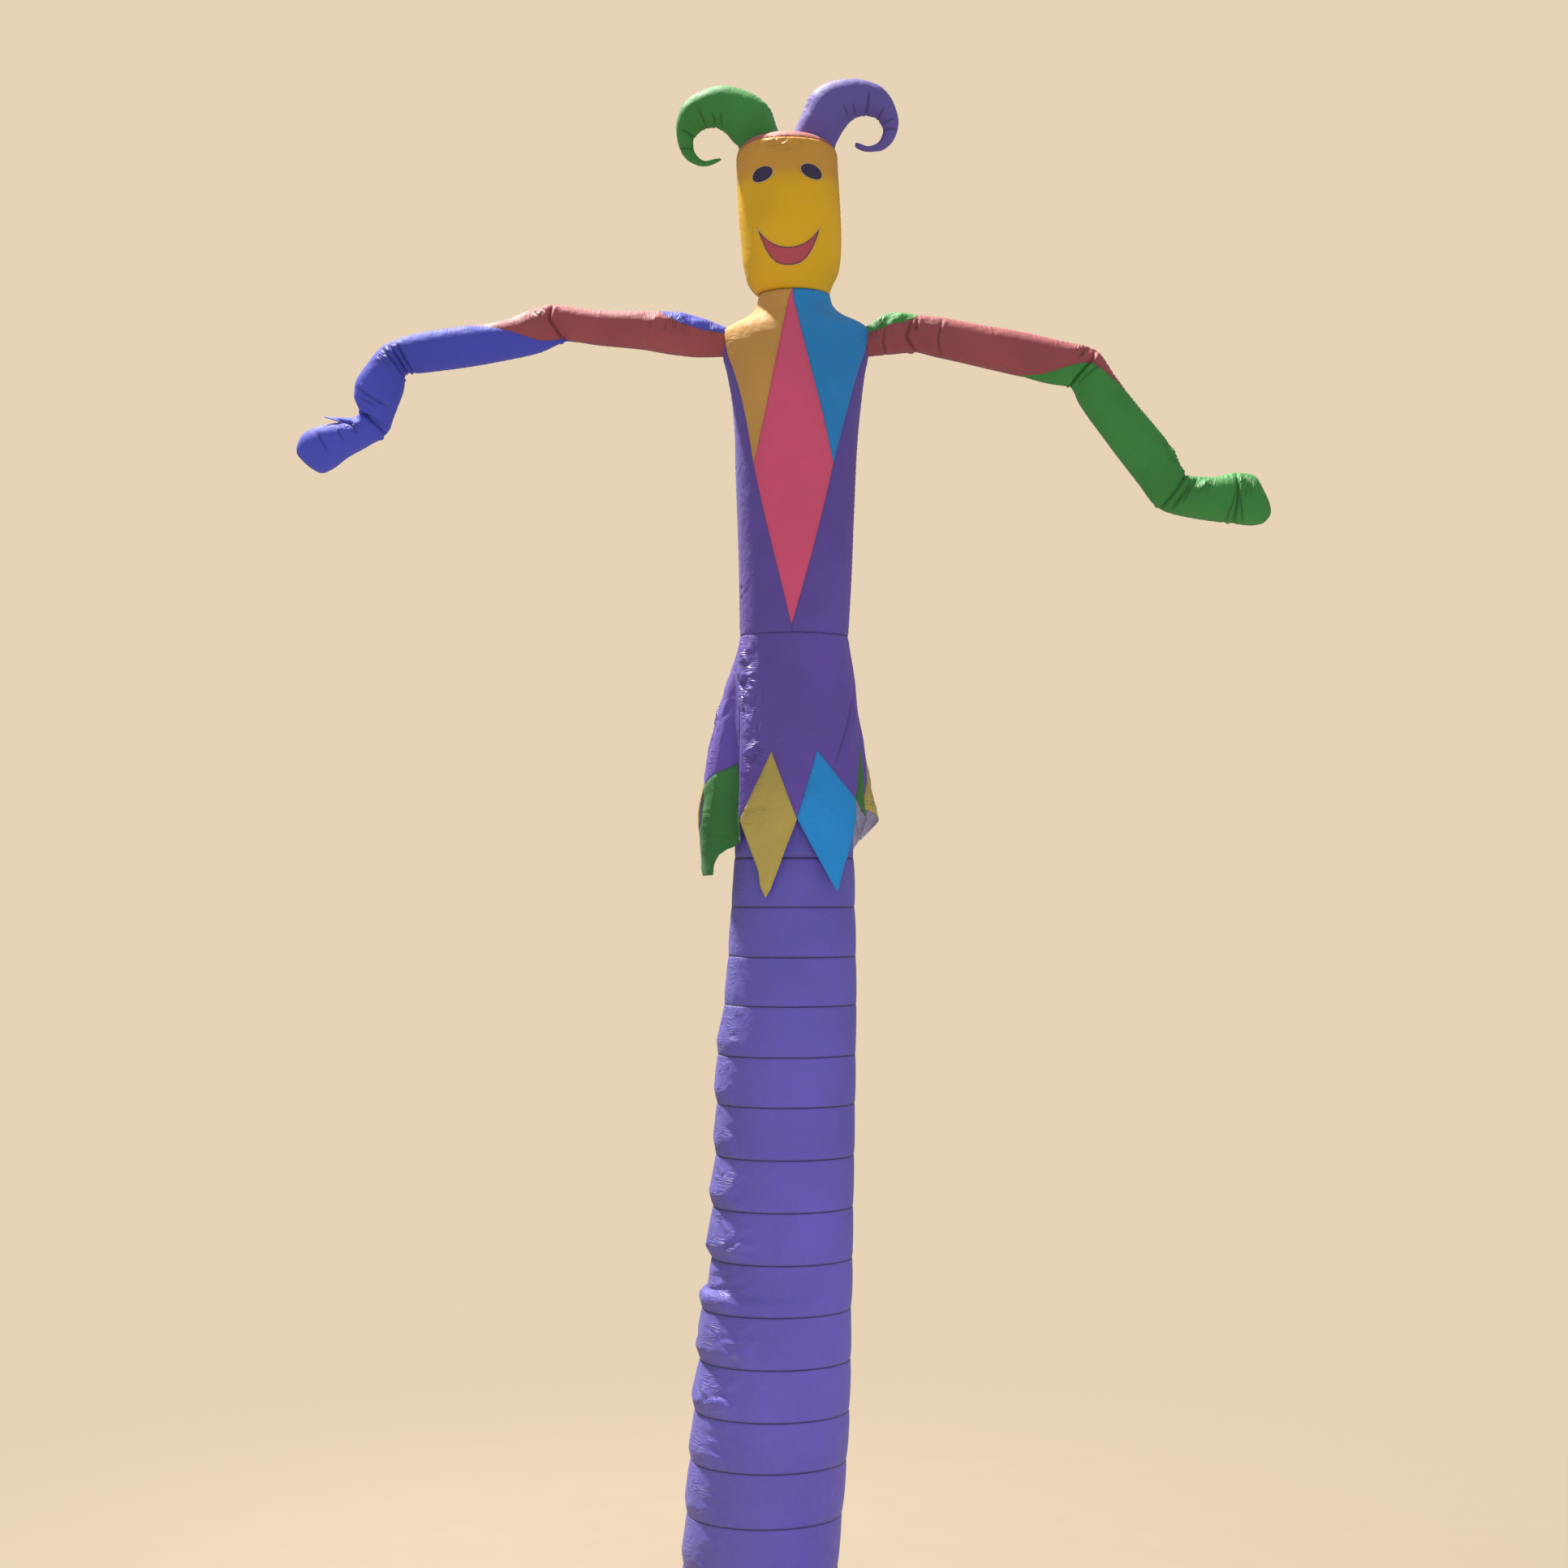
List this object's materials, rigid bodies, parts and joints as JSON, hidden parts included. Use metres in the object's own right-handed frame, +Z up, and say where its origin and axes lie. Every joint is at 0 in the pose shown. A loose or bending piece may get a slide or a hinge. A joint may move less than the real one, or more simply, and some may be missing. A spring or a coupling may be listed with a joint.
{
  "type": "inflatable air dancer",
  "caption": "Tall hollow sewn nylon figure for a blower, with a banded tube leg, pointed skirt, harlequin dress, smiling head, curled horns and bent outspread arms.",
  "frame": {"origin": "on the ground, under the middle of the figure's overall width and depth", "axes": "+Z up the figure, the face looks to -Y, and the figure's left hand in a front view lies towards -X"},
  "size_m": [2.914, 0.4788, 4.576],
  "materials": {
    "purple_nylon": "coated nylon, satin with a soft sheen",
    "lemon_nylon": "coated nylon, satin with a soft sheen",
    "blue_nylon": "coated nylon, satin with a soft sheen",
    "green_nylon": "coated nylon, satin with a soft sheen",
    "magenta_nylon": "coated nylon, satin with a soft sheen",
    "gold_nylon": "coated nylon, satin with a soft sheen",
    "yellow_nylon": "coated nylon, satin with a soft sheen",
    "coral_nylon": "coated nylon, satin with a soft sheen",
    "red_nylon": "coated nylon, satin with a soft sheen",
    "navy_patch": "patch of coated nylon, satin",
    "rose_patch": "patch of coated nylon, satin"
  },
  "bodies": {
    "root": {"crown_cap": "coral_nylon", "dress_diamond_back": "magenta_nylon", "dress_diamond_front": "magenta_nylon", "dress_side_left": "purple_nylon", "dress_side_right": "purple_nylon", "eye_left": "navy_patch", "eye_right": "navy_patch", "head": "yellow_nylon", "hip_tube": "purple_nylon", "horn_left": "green_nylon", "horn_right": "purple_nylon", "leg_band_01": "purple_nylon", "leg_band_02": "purple_nylon", "leg_band_03": "purple_nylon", "leg_band_04": "purple_nylon", "leg_band_05": "purple_nylon", "leg_band_06": "purple_nylon", "leg_band_07": "purple_nylon", "leg_band_08": "purple_nylon", "leg_band_09": "purple_nylon", "leg_band_10": "purple_nylon", "leg_band_11": "purple_nylon", "leg_band_12": "purple_nylon", "leg_band_13": "purple_nylon", "leg_band_14": "purple_nylon", "leg_band_15": "purple_nylon", "mouth": "rose_patch", "pennant_01_yellow": "lemon_nylon", "pennant_02_blue": "blue_nylon", "pennant_03_green": "green_nylon", "pennant_04_yellow": "lemon_nylon", "pennant_05_blue": "blue_nylon", "pennant_06_green": "green_nylon", "pennant_07_yellow": "lemon_nylon", "pennant_08_green": "green_nylon", "skirt": "purple_nylon", "sleeve_left": "red_nylon", "sleeve_right": "red_nylon", "yoke_back_left": "blue_nylon", "yoke_back_right": "gold_nylon", "yoke_front_left": "gold_nylon", "yoke_front_right": "blue_nylon"}
  },
  "joints": []
}
